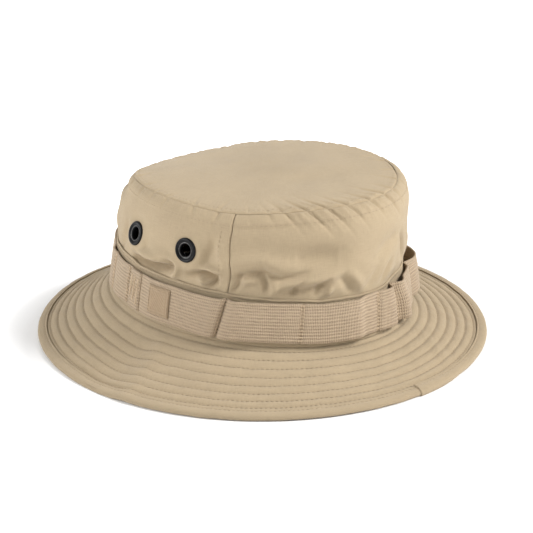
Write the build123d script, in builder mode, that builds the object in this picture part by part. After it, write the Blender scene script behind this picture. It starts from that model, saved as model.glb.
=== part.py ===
"""A boonie hat: a soft crown, a stitched brim, and a band of webbing loops round the crown.

Millimetres, +Z up. The origin is on the floor under the middle of the brim. +Y is the wearer's back and
+X the wearer's left. The crown settles a little towards the wearer's right and back, so its sections lie
on leaning planes. An angle round the hat is the parameter of its ovals: 0 at +X and 90 at +Y.
"""

import os
from math import cos, pi, radians, sin

from build123d import *

# Head oval, where the outside of the crown meets the brim
head_half_x = 83.2
head_half_y = 101.2

# Brim
brim_reach = 51.4  # from the head oval to the outer edge, seen from above
brim_rise = 25.6  # height of the brim's upper face at the crown
brim_edge_height = 2.7  # height of the same face at the outer edge
brim_lean_x = 3.86  # the crown end of the brim is this much higher at +X, and lower at -X
brim_lean_y = -4.76  # the same towards +Y
brim_steps = 8
brim_bow = 0.4  # 0 is a straight cone; more is steeper at the crown and flatter at the edge
cloth = 0.7
interlining = 0.8
layer_gap = 0.05
opening_gap = 0.6  # between the crown wall and the brim's inner edge
binding_width = 6.5
surface_start = -0.06  # the brim's surfaces are made longer than the brim, as shares of its reach
surface_end = 1.4
below_floor = 5.0  # where the outline's cutting block starts

# Crown wall: height along the crown's axis, half widths of the oval, and how far it has drifted sideways
wall_rows = (
    (-2.4, 83.5, 101.5, 0.0),
    (0.0, head_half_x, head_half_y, 0.0),
    (31.0, 79.2, 97.2, 0.0),
    (38.0, 80.3, 98.4, 0.8),
    (48.0, 80.5, 98.5, 1.5),
    (58.0, 80.3, 98.0, 2.2),
)
drift_x = -0.64
drift_y = 0.77

# Crown tip: its oval, and the shoulder of the wall below it, measured down from the tip seam
tip_half_x = 73.2
tip_half_y = 89.7
tip_centre = (-6.0, 6.0, 104.0)
tip_slope_x = 0.066
tip_slope_y = 0.042
tip_dome = 6.0
tip_shares = (1.0, 0.85, 0.65, 0.4, 0.1)  # the dome's ovals, as shares of the tip's
shoulder_rows = ((-9.0, 5.3, 5.8), (-3.5, 3.1, 3.3), (0.0, 0.0, 0.0))

# Side seams and the tapes inside
seam_y = 38.0
seam_gap = 0.1
tape = 0.5
side_tape_width = 12.0
side_tape_low = 36.0  # above the brim
side_tape_high = 62.4

# Vent eyelets, left side; the right side mirrors them
eyelet_places = {"front": (-25.0, 50.8), "rear": (3.0, 54.0)}
eyelet_radius = 7.8
eyelet_bore = 4.0
eyelet_barrel = 4.7
eyelet_rim = 1.2
eyelet_flare = 5.8
eyelet_lip = 0.5
punch = 12.0  # length of the tool that cuts the eyelet holes
washer = 0.5
washer_slack = 0.5  # the wall curves, and the washer is flat

# Band, sweatband and foliage webbing
band_bottom = 0.6
band_top = 32.0
sweatband = 1.2
sweatband_bottom = -1.8
sweatband_top = 33.0
seam_binding_top = 6.0
seam_binding = 0.6
webbing = 1.3
webbing_bottom = 3.3
webbing_width = 25.4
tack_angles = (-40, -26, 20, 50, 85, 98, 122, 152, 184, 216, 250, 284)
loop_bulges = (1.2, 1.8, 2.0, 2.4, 1.6, 2.6, 10.0, 2.6, 4.0, 3.2, 2.6, 2.4)
tack_gap = 0.35  # degrees left free at each side of a tack
tack_size = (1.5, 22.0, 0.5)
webbing_gap = 0.15  # between the webbing and the band, so that curved faces stay apart
tack_lift = 0.4
lap_loop = 1  # the webbing's two ends lap at the start of this loop, counted from 0
lap_span = (1.5, 8.0)  # degrees past the tack
tab_span = (14.0, 24.0)
tab_margin = 3.2
tab = 0.8
strip_steps = 14
label_size = (28.0, 14.0, 0.4)
label_low = 8.0

os.makedirs("parts", exist_ok=True)


# ---------------------------------------------------------------- places


def leaning_plane(centre, slope_x, slope_y):
    """A plane through centre that rises by slope_x per mm along +X and slope_y per mm along +Y."""
    return Plane(origin=centre, x_dir=(1, 0, 0), z_dir=(-slope_x, -slope_y, 1))


def brim_plane(reach, drop):
    """The plane of a brim oval. reach runs from 0 at the crown to 1 at the edge."""
    share = 1 - (1 + brim_bow) * reach + brim_bow * reach**2
    height = brim_edge_height + (brim_rise - brim_edge_height) * share
    slope_x = brim_lean_x * share / (head_half_x + brim_reach * reach)
    slope_y = brim_lean_y * share / (head_half_y + brim_reach * reach)
    return leaning_plane((0, 0, height - drop), slope_x, slope_y)


crown_plane = brim_plane(0, 0)
tip_plane = leaning_plane(tip_centre, tip_slope_x, tip_slope_y)


def wall_row(height):
    """Half widths and drift of the crown wall's outside, at a height along the crown's axis."""
    for low, high in zip(wall_rows, wall_rows[1:]):
        if height <= high[0]:
            break
    share = (height - low[0]) / (high[0] - low[0])
    return [a + (b - a) * share for a, b in zip(low, high)]


def wall_ring(height, out):
    """Plane and half widths of the oval that stands out from the wall's outside by out."""
    _, half_x, half_y, drift = wall_row(height)
    centre = crown_plane.offset(height).origin + Vector(drift_x, drift_y, 0) * drift
    plane = Plane(origin=centre, x_dir=crown_plane.x_dir, z_dir=crown_plane.z_dir)
    return plane, half_x + out, half_y + out


def shoulder_ring(height, half_x, half_y, out):
    """The same for the shoulder, on planes that are parallel to the tip."""
    return tip_plane.offset(height), tip_half_x + half_x + out, tip_half_y + half_y + out


def outline_point(ring, angle, out):
    """A point on a ring's own plane, out from its oval along the oval's normal."""
    _, half_x, half_y = ring
    turn = radians(angle)
    normal = Vector(cos(turn) / half_x, sin(turn) / half_y).normalized()
    return Vector(half_x * cos(turn), half_y * sin(turn)) + normal * out


def wall_plane(angle, height, out):
    """A plane that lies on the wall, out from it: x runs round the hat and z points outwards."""
    step = 1.0
    here = wall_ring(height, 0)
    above = wall_ring(height + step, 0)
    point = here[0].from_local_coords(outline_point(here, angle, 0))
    ahead = here[0].from_local_coords(outline_point(here, angle + step, 0))
    behind = here[0].from_local_coords(outline_point(here, angle - step, 0))
    up = above[0].from_local_coords(outline_point(above, angle, 0)) - point
    along = (ahead - behind).normalized()
    normal = along.cross(up).normalized()
    return Plane(origin=point + normal * out, x_dir=along, z_dir=normal)


# ---------------------------------------------------------------- sections


def oval(plane, half_x, half_y):
    """One oval face on its plane."""
    with BuildSketch(plane) as section:
        Ellipse(half_x, half_y)
    return section.sketch


def wall_sections(out):
    """Ovals of the whole crown wall, from below the brim seam up to the tip seam."""
    low = [oval(*wall_ring(row[0], out)) for row in wall_rows]
    high = [oval(*shoulder_ring(*row, out)) for row in shoulder_rows]
    return low + high


def band_sections(bottom, top, out):
    """Ovals of a band that follows the wall between two heights, bending where the wall does."""
    bends = [row[0] for row in wall_rows if bottom < row[0] < top]
    return [oval(*wall_ring(height, out)) for height in [bottom, *bends, top]]


def brim_sections(drop):
    """Ovals of a brim surface, from a little inside the crown to well past the edge."""
    sections = []
    for step in range(brim_steps + 1):
        reach = surface_start + (surface_end - surface_start) * step / brim_steps
        half_x = head_half_x + brim_reach * reach
        half_y = head_half_y + brim_reach * reach
        sections.append(oval(brim_plane(reach, drop), half_x, half_y))
    return sections


def brim_outline(inset):
    """The brim's outer edge seen from above, moved in by inset, as a face below the floor."""
    half_x = head_half_x + brim_reach - inset
    half_y = head_half_y + brim_reach - inset
    return oval(Plane.XY.offset(-below_floor), half_x, half_y)


def strip_section(height, loop, ends, out, thickness):
    """Plan of a strip between two angles. It follows a webbing loop, which lies on the band at both of
    its own ends and stands off it by its bulge in between."""
    start, end, bulge = loop
    ring = wall_ring(height, cloth + webbing_gap)
    inner = []
    outer = []
    for step in range(strip_steps + 1):
        angle = ends[0] + (ends[1] - ends[0]) * step / strip_steps
        off = out + bulge * sin(pi * (angle - start) / (end - start)) ** 1.5
        inner.append(outline_point(ring, angle, off))
        outer.append(outline_point(ring, angle, off + thickness))
    with BuildSketch(ring[0]) as section:
        with BuildLine():
            Spline(*inner)
            Spline(*outer)
            Line(inner[0], outer[0])
            Line(inner[-1], outer[-1])
        make_face()
    return section.sketch


def strip(bottom, top, loop, ends, out, thickness):
    """A strip of cloth or webbing between two heights of the wall."""
    with BuildPart() as made:
        sections = [strip_section(height, loop, ends, out, thickness) for height in (bottom, top)]
        loft(sections=sections, ruled=True)
    return made.part


def write(part, name):
    """Label a finished piece and write its STEP file."""
    part.label = name
    export_step(part, f"parts/{name}.step")


# ---------------------------------------------------------------- crown

with BuildPart() as wall:
    loft(sections=wall_sections(0), ruled=True)
    loft(sections=wall_sections(-cloth), ruled=True, mode=Mode.SUBTRACT)
    for side in (1, -1):
        for angle, height in eyelet_places.values():
            place = wall_plane(angle if side > 0 else 180 - angle, height, -punch / 2)
            with BuildSketch(place):
                Circle(eyelet_barrel + layer_gap)
            extrude(amount=punch, mode=Mode.SUBTRACT)

with BuildPart() as crown_front_panel:
    add(wall.part)
    split(bisect_by=Plane.XZ.offset(-(seam_y - seam_gap / 2)), keep=Keep.TOP)

with BuildPart() as crown_back_panel:
    add(wall.part)
    split(bisect_by=Plane.XZ.offset(-(seam_y + seam_gap / 2)), keep=Keep.BOTTOM)


def dome_sections(lift):
    """Shrinking ovals of the tip's low dome."""
    sections = []
    for share in tip_shares:
        height = lift + tip_dome * (1 - share**2)
        sections.append(oval(tip_plane.offset(height), tip_half_x * share, tip_half_y * share))
    return sections


with BuildPart() as crown_tip:
    extrude(oval(tip_plane.offset(layer_gap), tip_half_x, tip_half_y), amount=cloth)
    loft(sections=dome_sections(cloth + layer_gap), ruled=True)
    loft(sections=dome_sections(layer_gap), ruled=True, mode=Mode.SUBTRACT)

with BuildPart() as tip_seam_tape:
    outside = -cloth - layer_gap
    loft(sections=[oval(*shoulder_ring(*row, outside)) for row in shoulder_rows], ruled=True)
    inner = [oval(*shoulder_ring(*row, outside - 2 * tape)) for row in shoulder_rows]
    loft(sections=inner, ruled=True, mode=Mode.SUBTRACT)

side_seam_tapes = {}
for side, name in ((1, "side_seam_tape_left"), (-1, "side_seam_tape_right")):
    with BuildPart() as side_tape:
        loft(sections=wall_sections(-cloth - layer_gap), ruled=True)
        loft(sections=wall_sections(-cloth - layer_gap - tape), ruled=True, mode=Mode.SUBTRACT)
        with BuildSketch(Plane.XY.offset(brim_rise + side_tape_low)):
            with Locations((side * head_half_x, seam_y)):
                Rectangle(head_half_x, side_tape_width)
        extrude(amount=side_tape_high - side_tape_low, mode=Mode.INTERSECT)
    side_seam_tapes[name] = side_tape.part

write(crown_front_panel.part, "crown_front_panel")
write(crown_back_panel.part, "crown_back_panel")
write(crown_tip.part, "crown_tip")
write(tip_seam_tape.part, "tip_seam_tape")
for name, part in side_seam_tapes.items():
    write(part, name)


# ---------------------------------------------------------------- vent eyelets


def vent_eyelet(place):
    """Eyelet: a rolled rim outside, a barrel through the cloth and a flare inside."""
    inside = -cloth - layer_gap - washer_slack - washer
    section_plane = Plane(origin=place.origin, x_dir=place.x_dir, z_dir=-place.y_dir)
    with BuildPart() as eyelet:
        with BuildSketch(section_plane):
            with BuildLine():
                rim = Line((eyelet_bore, 0.2), (eyelet_bore, inside - eyelet_lip))
                flare = Line(rim @ 1, (eyelet_flare, inside - eyelet_lip))
                lip = Line(flare @ 1, (eyelet_flare, inside - layer_gap))
                under = Line(lip @ 1, (eyelet_barrel, inside - layer_gap))
                barrel = Line(under @ 1, (eyelet_barrel, layer_gap))
                seat = Line(barrel @ 1, (eyelet_radius, layer_gap))
                ThreePointArc(seat @ 1, ((eyelet_bore + eyelet_radius) / 2, eyelet_rim), rim @ 0)
            make_face()
        revolve(axis=Axis(place.origin, place.z_dir))
    return eyelet.part


def vent_washer(place):
    """Flat ring under the eyelet's flare, on the inside of the cloth."""
    with BuildPart() as ring:
        with BuildSketch(place.offset(-cloth - layer_gap - washer_slack)):
            Circle(eyelet_radius)
            Circle(eyelet_barrel + layer_gap, mode=Mode.SUBTRACT)
        extrude(amount=-washer)
    return ring.part


for side, side_name in ((1, "left"), (-1, "right")):
    for place_name, (angle, height) in eyelet_places.items():
        place = wall_plane(angle if side > 0 else 180 - angle, height, 0)
        write(vent_eyelet(place), f"vent_eyelet_{side_name}_{place_name}")
        write(vent_washer(place), f"vent_washer_{side_name}_{place_name}")


# ---------------------------------------------------------------- band and sweatband

with BuildPart() as base_band:
    loft(sections=band_sections(band_bottom, band_top, layer_gap + cloth), ruled=True)
    loft(sections=band_sections(band_bottom, band_top, layer_gap), ruled=True, mode=Mode.SUBTRACT)
write(base_band.part, "base_band")

with BuildPart() as base_seam_binding:
    outside = -cloth - layer_gap
    loft(sections=band_sections(sweatband_bottom, seam_binding_top, outside), ruled=True)
    inner = band_sections(sweatband_bottom, seam_binding_top, outside - seam_binding)
    loft(sections=inner, ruled=True, mode=Mode.SUBTRACT)
write(base_seam_binding.part, "base_seam_binding")

with BuildPart() as sweatband_tape:
    outside = -cloth - seam_binding - 2 * layer_gap
    loft(sections=band_sections(sweatband_bottom, sweatband_top, outside), ruled=True)
    inner = band_sections(sweatband_bottom, sweatband_top, outside - sweatband)
    loft(sections=inner, ruled=True, mode=Mode.SUBTRACT)
write(sweatband_tape.part, "sweatband")

with BuildPart() as size_label:
    label_out = -cloth - seam_binding - sweatband - 3 * layer_gap
    label_high = label_low + label_size[1]
    loft(sections=band_sections(label_low, label_high, label_out), ruled=True)
    inner = band_sections(label_low, label_high, label_out - label_size[2])
    loft(sections=inner, ruled=True, mode=Mode.SUBTRACT)
    with BuildSketch(Plane.XY):
        with Locations((0, head_half_y)):
            Rectangle(label_size[0], head_half_y)
    extrude(amount=tip_centre[2], mode=Mode.INTERSECT)
write(size_label.part, "size_label")


# ---------------------------------------------------------------- foliage webbing

webbing_top = webbing_bottom + webbing_width
tack_ends = tack_angles[1:] + (tack_angles[0] + 360,)
loops = list(zip(tack_angles, tack_ends, loop_bulges))
for number, loop in enumerate(loops, start=1):
    ends = (loop[0] + tack_gap, loop[1] - tack_gap)
    write(strip(webbing_bottom, webbing_top, loop, ends, 0, webbing), f"foliage_loop_{number:02d}")

# the upper end of the webbing, folded under and laid over the lower one
lap_loop_shape = loops[lap_loop]
ends = [lap_loop_shape[0] + angle for angle in lap_span]
lap = strip(webbing_bottom, webbing_top, lap_loop_shape, ends, webbing + layer_gap, webbing)
write(lap, "webbing_lap")

# plain stitched tab, on the webbing beside the lap
ends = [lap_loop_shape[0] + angle for angle in tab_span]
heights = (webbing_bottom + tab_margin, webbing_top - tab_margin)
write(strip(*heights, lap_loop_shape, ends, webbing + layer_gap, tab), "webbing_tab")


def tack(angle):
    """A bar of tack stitches, flat against the webbing at mid height."""
    out = cloth + tack_lift + webbing
    with BuildPart() as bar:
        with BuildSketch(wall_plane(angle, (webbing_bottom + webbing_top) / 2, out)):
            Rectangle(tack_size[0], tack_size[1])
        extrude(amount=tack_size[2])
    return bar.part


write(Compound(children=[tack(angle) for angle in tack_angles]), "webbing_tacks")


# ---------------------------------------------------------------- brim


def brim_layer(upper, lower, inset):
    """One layer of the brim between two depths below its upper face, cut to the crown and the outline."""
    with BuildPart() as layer:
        loft(sections=brim_sections(upper), ruled=True)
        loft(sections=brim_sections(lower), ruled=True, mode=Mode.SUBTRACT)
        extrude(brim_outline(inset), amount=brim_rise * 2, mode=Mode.INTERSECT)
        opening = oval(Plane.XY, head_half_x + opening_gap, head_half_y + opening_gap)
        extrude(opening, amount=brim_rise * 2, mode=Mode.SUBTRACT)
    return layer.part


under_cloth_top = cloth + interlining + 2 * layer_gap
brim_depth = under_cloth_top + cloth
write(brim_layer(0, cloth, cloth + layer_gap), "brim_top_cloth")
write(brim_layer(cloth + layer_gap, under_cloth_top - layer_gap, cloth + layer_gap), "brim_interlining")
write(brim_layer(under_cloth_top, brim_depth, cloth + layer_gap), "brim_under_cloth")

with BuildPart() as brim_binding:
    loft(sections=brim_sections(-layer_gap - cloth), ruled=True)
    loft(sections=brim_sections(brim_depth + layer_gap + cloth), ruled=True, mode=Mode.SUBTRACT)
    extrude(brim_outline(0), amount=brim_rise, mode=Mode.INTERSECT)
    extrude(brim_outline(binding_width), amount=brim_rise * 2, mode=Mode.SUBTRACT)
    add(brim_layer(-layer_gap, brim_depth + layer_gap, cloth), mode=Mode.SUBTRACT)
    split(bisect_by=Plane.XY, keep=Keep.TOP)
write(brim_binding.part, "brim_binding")
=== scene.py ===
"""How the boonie hat looks: cloth, quilted brim, ribbed webbing, thread and enamelled eyelets.

Shapes are worked out in millimetres in the frame's axes, and become metres when a mesh is made. +Z is up,
+Y is the wearer's back and +X the wearer's left. An angle round the hat is the parameter of its ovals, in
degrees: 0 at +X and 90 at +Y.
"""

import math

import bmesh
import bpy
import numpy as np
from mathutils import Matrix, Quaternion, Vector


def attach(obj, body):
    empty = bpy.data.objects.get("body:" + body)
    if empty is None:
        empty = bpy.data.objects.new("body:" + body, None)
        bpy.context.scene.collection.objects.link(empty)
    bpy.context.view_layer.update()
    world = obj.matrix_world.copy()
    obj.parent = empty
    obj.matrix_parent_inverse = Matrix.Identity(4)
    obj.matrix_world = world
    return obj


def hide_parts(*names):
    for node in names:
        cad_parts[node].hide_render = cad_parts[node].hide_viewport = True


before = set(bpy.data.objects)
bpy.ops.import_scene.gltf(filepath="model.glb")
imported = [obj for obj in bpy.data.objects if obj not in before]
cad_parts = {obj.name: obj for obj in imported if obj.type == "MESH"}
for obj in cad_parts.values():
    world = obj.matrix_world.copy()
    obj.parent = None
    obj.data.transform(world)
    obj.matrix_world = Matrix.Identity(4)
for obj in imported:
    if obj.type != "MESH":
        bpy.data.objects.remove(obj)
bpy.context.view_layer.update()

MM = 0.001
TURN = 360.0

# ---------------------------------------------------------------- driving dimensions, in millimetres

HEAD_X, HEAD_Y = 83.2, 101.2
BRIM_REACH = 51.4
BRIM_RISE = 25.6
BRIM_EDGE = 2.7
BRIM_LEAN = (3.86, -4.76)
BRIM_BOW = 0.4
CROWN_SLOPE = (BRIM_LEAN[0] / HEAD_X, BRIM_LEAN[1] / HEAD_Y)
DRIFT = (-0.64, 0.77)
WALL_ROWS = (
    (0.0, HEAD_X, HEAD_Y, 0.0),
    (16.0, 81.2, 99.2, 0.0),
    (31.0, 79.2, 97.2, 0.0),
    (36.5, 80.0, 98.0, 0.6),
    (48.0, 80.6, 98.6, 1.5),
    (58.0, 80.3, 98.0, 2.2),
)
TIP_X, TIP_Y = 73.2, 89.7
TIP_CENTRE = (-6.0, 6.0, 104.0)
TIP_SLOPE = (0.066, 0.042)
SHOULDER_ROWS = ((-9.0, 5.3, 5.8), (-3.5, 3.1, 3.3), (0.0, 0.0, 0.0))
TIP_DOME = 6.0
WALL_STEPS = 240
CLOTH = 0.7
SEAM_ANGLE = 21.3
# How far each row of topstitching lies from its edge: below the tip seam, above it, beside a side seam,
# and below the band's top
TOPSTITCH, TIP_STITCH, SEAM_STITCH, BAND_STITCH = 8.2, 3.0, 7.0, 2.2
# How far the band's outside lies from the wall
BAND_OUT = 1.05
# Each side seam's angle, and the side of it that the front panel lies on
SEAMS = ((SEAM_ANGLE, -1), (180 - SEAM_ANGLE, 1))
TACKS = (-40, -26, 20, 50, 85, 98, 122, 152, 184, 216, 250, 284)
EYELETS = {"left_front": (-25.0, 50.8), "left_rear": (3.0, 54.0)}
EYELETS["right_front"] = (180 - EYELETS["left_front"][0], EYELETS["left_front"][1])
EYELETS["right_rear"] = (180 - EYELETS["left_rear"][0], EYELETS["left_rear"][1])
WEBBING_LOW, WEBBING_WIDTH, WEBBING = 3.3, 25.4, 1.3
# Pitches of the webbing's yarns, along it and across it
PICK, RIB = 1.08, 2.0
STITCH, STITCH_GAP, THREAD = 2.3, 0.7, 0.2

random = np.random.default_rng(7)


# ---------------------------------------------------------------- small maths


def smooth(low, high, x):
    """0 below low, 1 above high, and a soft step between."""
    share = np.clip((x - low) / (high - low), 0, 1)
    return share * share * (3 - 2 * share)


def ridge(x, width):
    """A bell of height 1."""
    return np.exp(-((x / width) ** 2))


def waves(angle, counts, seed):
    """A soft closed wave round the hat, about -1 to 1."""
    dice = np.random.default_rng(seed)
    total = np.zeros_like(angle, dtype=float)
    for count in counts:
        total += dice.uniform(0.4, 1) * np.sin(np.radians(angle) * count + dice.uniform(0, 6.28))
    return total / math.sqrt(len(counts))


def curve_through(places, values, x):
    """A smooth curve through values at increasing places; a value may be an array."""
    slopes = np.gradient(values, places, axis=0)
    i = np.clip(np.searchsorted(places, x) - 1, 0, len(places) - 2)
    span = places[i + 1] - places[i]
    s = np.clip((x - places[i]) / span, 0, 1)
    if values.ndim > 1:
        span, s = span[:, None, None], s[:, None, None]
    start = (2 * s**3 - 3 * s**2 + 1) * values[i] + (s**3 - 2 * s**2 + s) * span * slopes[i]
    return start + (3 * s**2 - 2 * s**3) * values[i + 1] + (s**3 - s**2) * span * slopes[i + 1]


def through(knots, x):
    """A smooth curve through (x, y) knots."""
    return curve_through(*np.array(knots, float).T, x)


def away_from(at, angle):
    """Degrees round the hat from one angle, between -180 and 180."""
    return (angle - at + 180) % TURN - 180


def running(steps):
    """Totals after each step, from 0."""
    return np.concatenate([[0], np.cumsum(steps)])


def read_at(wanted, places, values):
    """Points read off a line of points at wanted places along it."""
    return np.stack([np.interp(wanted, places, values[:, k]) for k in range(3)], 1)


def read_columns(wanted, heights, values):
    """Points read off each column of a grid at wanted heights."""
    columns = range(values.shape[1])
    return np.stack([read_at(wanted[:, c], heights[:, c], values[:, c]) for c in columns], 1)


def unit(v):
    """Vectors of length 1."""
    return v / np.maximum(np.linalg.norm(v, axis=-1, keepdims=True), 1e-9)


def grid_normals(points, wrap):
    """Normals of a grid of points, rows by columns: columns run round the hat and rows upwards."""
    if wrap:
        along = np.roll(points, -1, 1) - np.roll(points, 1, 1)
    else:
        along = np.gradient(points, axis=1)
    return unit(np.cross(along, np.gradient(points, axis=0)))


# ---------------------------------------------------------------- making meshes


def grid_faces(rows, cols, wrap):
    """Quads of a grid, as the rows and columns of their corners, with one more column when it wraps."""
    row, col = np.meshgrid(np.arange(rows - 1), np.arange(cols if wrap else cols - 1), indexing="ij")
    row, col = row.ravel(), col.ravel()
    return np.stack([row, row, row + 1, row + 1], 1), np.stack([col, col + 1, col + 1, col], 1)


def grid_quads(grid, wrap, loop=False):
    """Quads of a grid of points. wrap joins its last column to its first, and loop its last row."""
    rows, cols = grid.shape[:2]
    row, col = grid_faces(rows + loop, cols, wrap)
    return (row % rows) * cols + col % cols


def make_piece(name, points, faces, material, uv=None, stands_for=()):
    """A mesh object from points in millimetres and quads, riding on the hat's one body."""
    mesh = bpy.data.meshes.new(name)
    mesh.vertices.add(len(points))
    mesh.vertices.foreach_set("co", (np.asarray(points) * MM).astype(np.float32).ravel())
    mesh.loops.add(faces.size)
    mesh.loops.foreach_set("vertex_index", faces.astype(np.int32).ravel())
    mesh.polygons.add(len(faces))
    mesh.polygons.foreach_set("loop_start", np.arange(len(faces), dtype=np.int32) * 4)
    mesh.update(calc_edges=True)
    if uv is not None:
        layer = mesh.uv_layers.new(name="cloth")
        layer.data.foreach_set("uv", uv.astype(np.float32).ravel())
    mesh.validate()
    mesh.polygons.foreach_set("use_smooth", np.ones(len(mesh.polygons), bool))
    mesh.materials.append(material)
    piece = bpy.data.objects.new(name, mesh)
    bpy.context.scene.collection.objects.link(piece)
    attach(piece, "root")
    if stands_for:
        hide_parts(*stands_for)
    return piece


def grid_uv(points, wrap):
    """Each quad corner's place along and up the cloth, in millimetres."""
    closed = np.concatenate([points, points[:, :1]], 1) if wrap else points
    u = running(np.linalg.norm(np.diff(closed, axis=1), axis=2).mean(0))
    v = running(np.linalg.norm(np.diff(closed, axis=0), axis=2).mean(1))
    return np.stack(np.meshgrid(u, v), -1)


def closed_shell(quads, uv, count):
    """The outer quads, the inner ones behind them, and rims where the outer ones end."""
    starts, stops = quads.ravel(), np.roll(quads, -1, 1).ravel()
    start_uv, stop_uv = uv.reshape(-1, 2), np.roll(uv, -1, 1).reshape(-1, 2)
    key = np.minimum(starts, stops).astype(np.int64) * count + np.maximum(starts, stops)
    _, first, uses = np.unique(key, return_index=True, return_counts=True)
    edge = first[uses == 1]
    a, b = starts[edge], stops[edge]
    rims = np.stack([b, a, a + count, b + count], 1)
    rim_uv = np.stack([stop_uv[edge], start_uv[edge], start_uv[edge], stop_uv[edge]], 1)
    return np.concatenate([quads, quads[:, ::-1] + count, rims]), np.concatenate([uv, uv[:, ::-1], rim_uv])


def sheet_piece(name, outer, wrap, material, stands_for=(), thickness=CLOTH, holes=None, lengths=None):
    """A closed shell of cloth: outer is its outside as a grid, and its inside lies thickness deeper.

    holes marks outer grid points that are cut away, such as behind an eyelet. lengths gives each point's
    place along and across the cloth, where that isn't measured from the grid.
    """
    inner = outer - grid_normals(outer, wrap) * thickness
    row, col = grid_faces(*outer.shape[:2], wrap)
    uv = (grid_uv(outer, wrap) if lengths is None else lengths)[row, col]
    quads = grid_quads(outer, wrap)
    if holes is not None:
        keep = ~holes.ravel()[quads].any(1)
        quads, uv = quads[keep], uv[keep]
    outer, inner = outer.reshape(-1, 3), inner.reshape(-1, 3)
    faces, uv = closed_shell(quads, uv, len(outer))
    return make_piece(name, np.concatenate([outer, inner]), faces, material, uv, stands_for)


def open_piece(name, outer, wrap, material, stands_for=()):
    """One layer of cloth whose edges are tucked away under its neighbours."""
    row, col = grid_faces(*outer.shape[:2], wrap)
    uv = grid_uv(outer, wrap)[row, col]
    return make_piece(name, outer.reshape(-1, 3), grid_quads(outer, wrap), material, uv, stands_for)


def joined(parts):
    """Points and quads of several shells as one list of each."""
    points, faces, start = [], [], 0
    for p, f in parts:
        points.append(p)
        faces.append(f + start)
        start += len(p)
    return np.concatenate(points), np.concatenate(faces)


def tube(rings, loop=False):
    """Points and quads of a tube: rows of rings, columns round each ring. loop joins its two ends."""
    return rings.reshape(-1, 3), grid_quads(rings, True, loop)


# ---------------------------------------------------------------- thread


def stitch_shape():
    """One stitch lying along x on the cloth: a short thread whose ends dip into it."""
    stations = np.linspace(-1, 1, 7)
    around = np.linspace(0, 2 * math.pi, 6, endpoint=False)
    thick = THREAD * np.sqrt(np.clip(1.02 - stations**4, 0.02, 1))
    lift = THREAD * 0.9 - THREAD * 3.2 * np.abs(stations) ** 3
    points = np.zeros((7, 6, 3))
    points[..., 0] = stations[:, None] * STITCH / 2
    points[..., 1] = thick[:, None] * np.cos(around)
    points[..., 2] = lift[:, None] + thick[:, None] * np.sin(around)
    return tube(points)


STITCH_POINTS, STITCH_FACES = stitch_shape()


def stitches(path, normals, closed=False, length=STITCH, gap=STITCH_GAP, scale=1.0, lift=0.0):
    """Points and quads of a row of stitches along a path of points on the cloth."""
    if closed:
        path = np.concatenate([path, path[:1]])
        normals = np.concatenate([normals, normals[:1]])
    run = running(np.linalg.norm(np.diff(path, axis=0), axis=1))
    count = max(1, int(run[-1] / (length + gap)))
    middles = (np.arange(count) + 0.5) * run[-1] / count
    at, up = read_at(middles, run, path), unit(read_at(middles, run, normals))
    along = unit(read_at(middles + 0.5, run, path) - read_at(middles - 0.5, run, path))
    across = np.cross(up, along)
    stretch = np.array([length / STITCH, scale, scale])
    shape = STITCH_POINTS * stretch
    points = at[:, None] + lift * up[:, None] + shape[None, :, :1] * along[:, None]
    points = points + shape[None, :, 1:2] * across[:, None] + shape[None, :, 2:] * up[:, None]
    faces = STITCH_FACES[None] + (np.arange(count) * len(STITCH_POINTS))[:, None, None]
    return points.reshape(-1, 3), faces.reshape(-1, 4)


def thread_piece(name, parts, material, stands_for=()):
    """Many rows of stitches as one piece."""
    points, faces = joined(parts)
    make_piece(name, points, faces, material, stands_for=stands_for)


# ---------------------------------------------------------------- the hat's surfaces


def oval_ring(angle, half_x, half_y, centre, slope):
    """Points of an oval on a leaning plane."""
    x = half_x * np.cos(np.radians(angle))
    y = half_y * np.sin(np.radians(angle))
    z = centre[2] + slope[0] * x + slope[1] * y
    return np.stack([centre[0] + x, centre[1] + y, z + 0 * x], -1)


def wall_rings(angle, out=0.0):
    """The crown wall's rings from the brim seam up to the tip seam."""
    rings = []
    for height, half_x, half_y, drift in WALL_ROWS:
        shift_x = -CROWN_SLOPE[0] * height + DRIFT[0] * drift
        shift_y = -CROWN_SLOPE[1] * height + DRIFT[1] * drift
        lift = CROWN_SLOPE[0] * shift_x + CROWN_SLOPE[1] * shift_y
        centre = (shift_x, shift_y, BRIM_RISE + height + lift)
        rings.append(oval_ring(angle, half_x + out, half_y + out, centre, CROWN_SLOPE))
    for depth, more_x, more_y in SHOULDER_ROWS:
        shift = (-TIP_SLOPE[0] * depth, -TIP_SLOPE[1] * depth)
        centre = (TIP_CENTRE[0] + shift[0], TIP_CENTRE[1] + shift[1], TIP_CENTRE[2] + depth)
        ring = oval_ring(angle, TIP_X + more_x + out, TIP_Y + more_y + out, centre, TIP_SLOPE)
        ring[..., 2] += tip_seam_wave(angle)
        rings.append(ring)
    return np.array(rings)


# How far the tip seam stands above its plane, as (angle, height)
TIP_SEAM = (
    (-55, 1.0), (-40, 2.6), (-20, 2.0), (0, 0.0), (20, -2.2), (40, -0.9), (60, 0.0), (90, 0.2), (120, 0.8),
    (140, 2.2), (160, 3.4), (180, 3.4), (200, 2.6), (218, 1.2), (233, -1.6), (250, -3.4), (268, -3.8),
    (285, -2.6), (305, 1.0), (320, 2.6), (340, 2.0), (360, 0.0), (380, -2.2),
)


def tip_seam_wave(angle):
    """How the tip seam rises and falls from its plane, all the way round."""
    return through(TIP_SEAM, (np.asarray(angle, float) + 30) % TURN - 30)


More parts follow.
